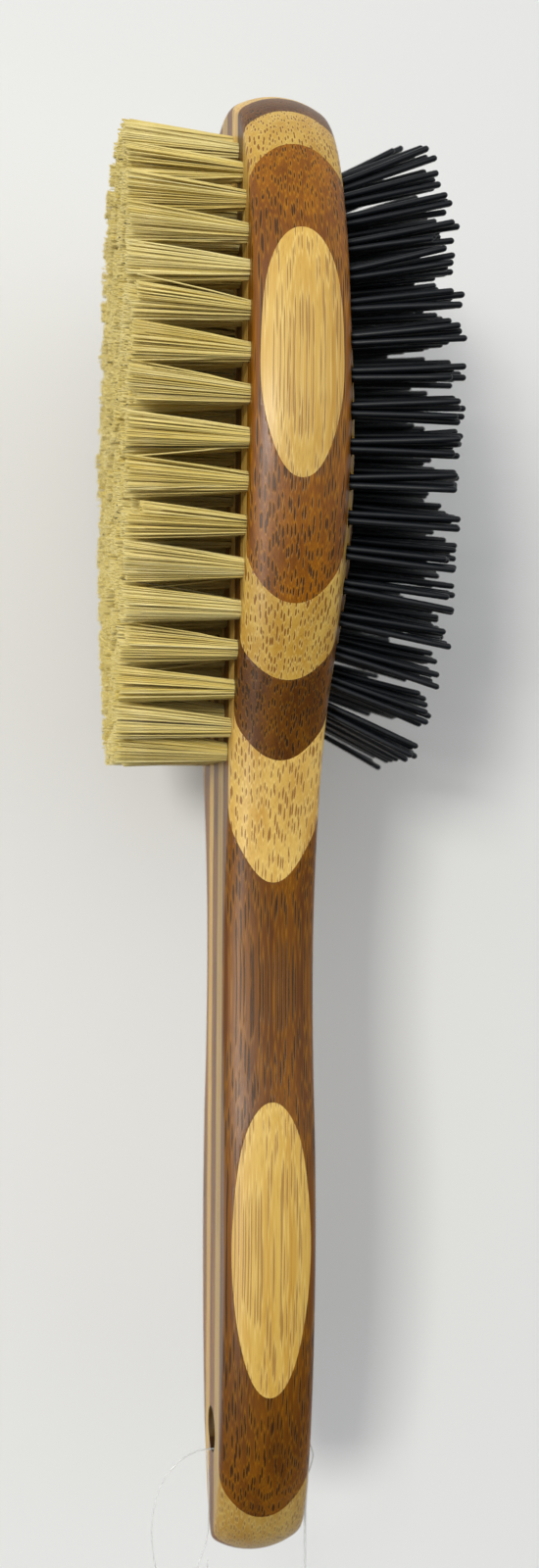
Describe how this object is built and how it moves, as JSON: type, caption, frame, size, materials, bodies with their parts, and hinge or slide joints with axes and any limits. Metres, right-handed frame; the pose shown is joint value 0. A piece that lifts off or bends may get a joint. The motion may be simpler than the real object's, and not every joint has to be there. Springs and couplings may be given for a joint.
{
  "type": "double-sided hair brush",
  "caption": "Double-sided brush with a striped laminated bamboo body, natural bristle tufts on the flat face, black nylon pins on the crowned face and a hanging hole in the grip",
  "frame": {"origin": "centre of the hanging hole, on its axis, inside the grip", "axes": "+Z along the length towards the head; +X through the thickness from the flat bristle face to the crowned pin face; +Y across the width"},
  "size_m": [0.0537, 0.0647, 0.2502],
  "materials": {
    "light_bamboo": "satin clear lacquer over pale bamboo",
    "dark_bamboo": "satin clear lacquer over carbonised bamboo",
    "natural_bristle": "dry straw-coloured natural fibre, cut square",
    "black_nylon": "smooth black nylon strand with rounded tips",
    "anchor_wire": "drawn wire",
    "clear_thread": "clear monofilament"
  },
  "bodies": {
    "brush": {"core_board": "dark_bamboo", "core_board_butt": "dark_bamboo", "near_light_1": "light_bamboo", "near_dark_1": "dark_bamboo", "near_light_2_head": "light_bamboo", "near_light_2_grip": "light_bamboo", "near_dark_2": "dark_bamboo", "near_light_3": "light_bamboo", "near_dark_3": "dark_bamboo", "near_light_4": "light_bamboo", "far_light_1": "light_bamboo", "far_dark_1": "dark_bamboo", "far_light_2_head": "light_bamboo", "far_light_2_grip": "light_bamboo", "far_dark_2": "dark_bamboo", "far_light_3": "light_bamboo", "far_dark_3": "dark_bamboo", "far_light_4": "light_bamboo", "bristle_ring_1": "natural_bristle", "bristle_ring_2": "natural_bristle", "bristle_ring_3": "natural_bristle", "bristle_ring_4": "natural_bristle", "bristle_row_5": "natural_bristle", "bristle_anchors": "anchor_wire", "pin_ring_1": "black_nylon", "pin_ring_2": "black_nylon", "pin_ring_3": "black_nylon", "pin_ring_4": "black_nylon", "pin_row_5": "black_nylon", "pin_anchors": "anchor_wire"},
    "hang_loop": {"hang_loop": "clear_thread"}
  },
  "joints": [
    {"name": "hang_loop_swing", "type": "hinge", "parent": "brush", "child": "hang_loop", "pos_m": [0, 0, -0.00318], "axis": [1, 0, 0], "range_deg": [-150, 150]}
  ]
}
